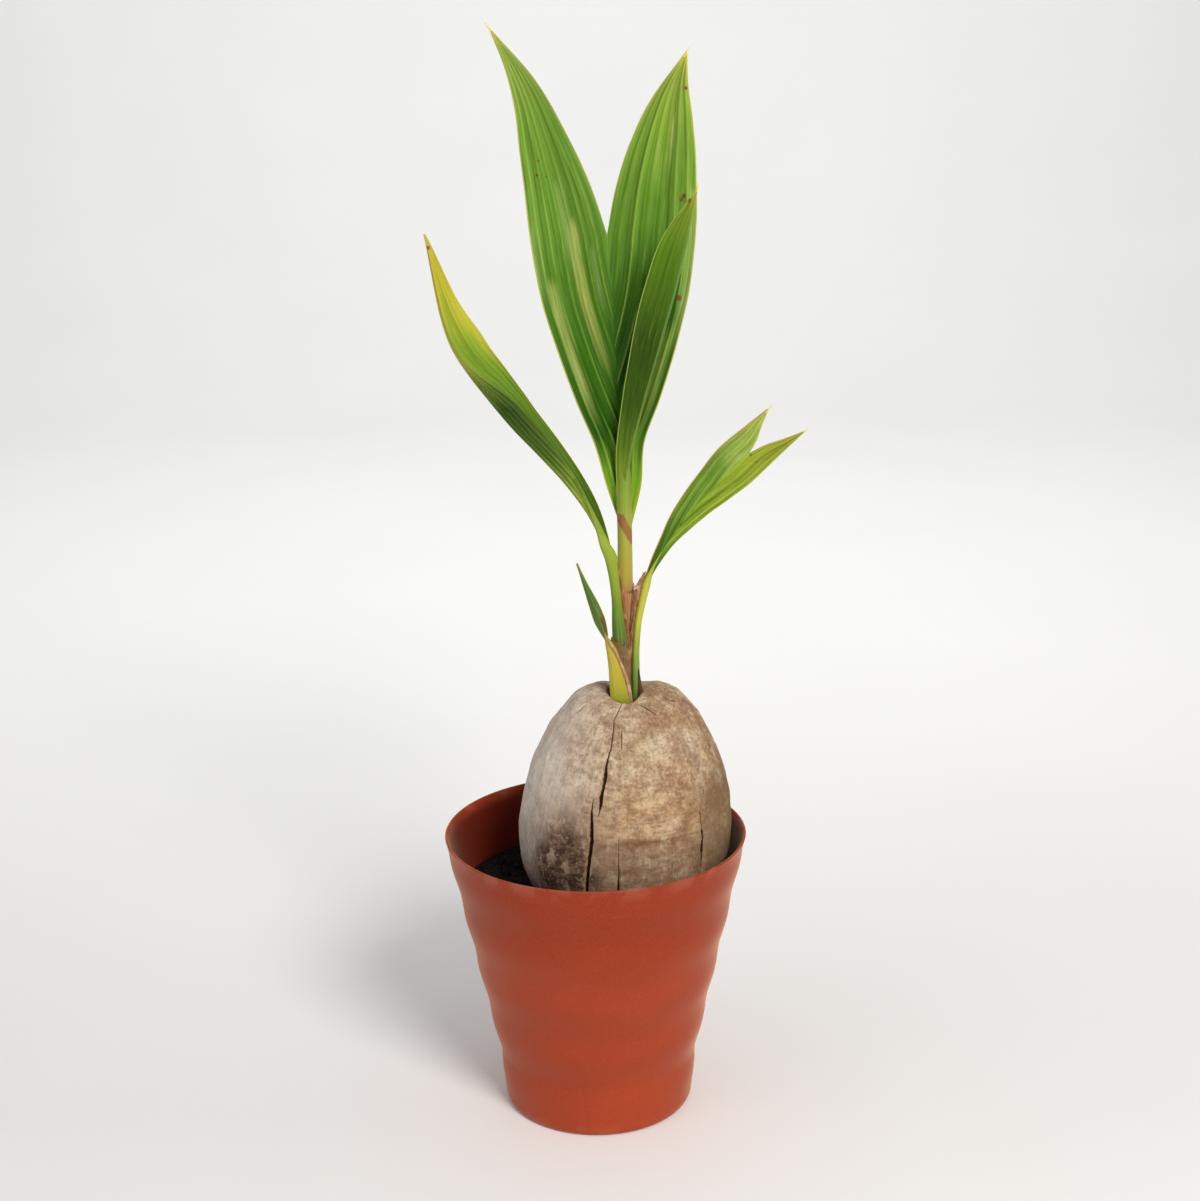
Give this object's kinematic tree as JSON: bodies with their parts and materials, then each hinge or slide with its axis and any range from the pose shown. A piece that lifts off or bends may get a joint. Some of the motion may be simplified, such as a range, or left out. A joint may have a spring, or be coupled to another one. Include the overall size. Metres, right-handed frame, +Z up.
{
  "type": "potted coconut palm seedling",
  "caption": "Young coconut palm sprouting from a half-buried husk in a tapered terracotta-coloured plastic pot, with upright forked and lance-shaped leaves.",
  "frame": {"origin": "middle of the pot's flat underside", "axes": "+Z up, the plant's front faces -Y, +X to the right seen from the front"},
  "size_m": [0.2378, 0.2068, 0.733],
  "materials": {
    "terracotta_plastic": "satin moulded plastic",
    "dark_soil": "loose, dull",
    "dry_husk": "dry, fibrous",
    "stem_green": "smooth, fresh",
    "stalk_green": "smooth, fresh",
    "dry_fibre": "papery, dull",
    "sheath_yellow": "soft, dull",
    "leaf_green": "pleated, satin"
  },
  "bodies": {
    "root": {"pot": "terracotta_plastic", "potting_soil": "dark_soil", "coconut_husk": "dry_husk", "centre_stem": "stem_green", "dry_sheath": "dry_fibre", "first_sheath": "sheath_yellow", "first_blade": "leaf_green", "left_stalk": "stalk_green", "left_blade": "leaf_green", "right_stalk": "stalk_green", "right_blade": "leaf_green", "tall_leaf": "leaf_green", "spear_leaf": "leaf_green"}
  },
  "joints": []
}
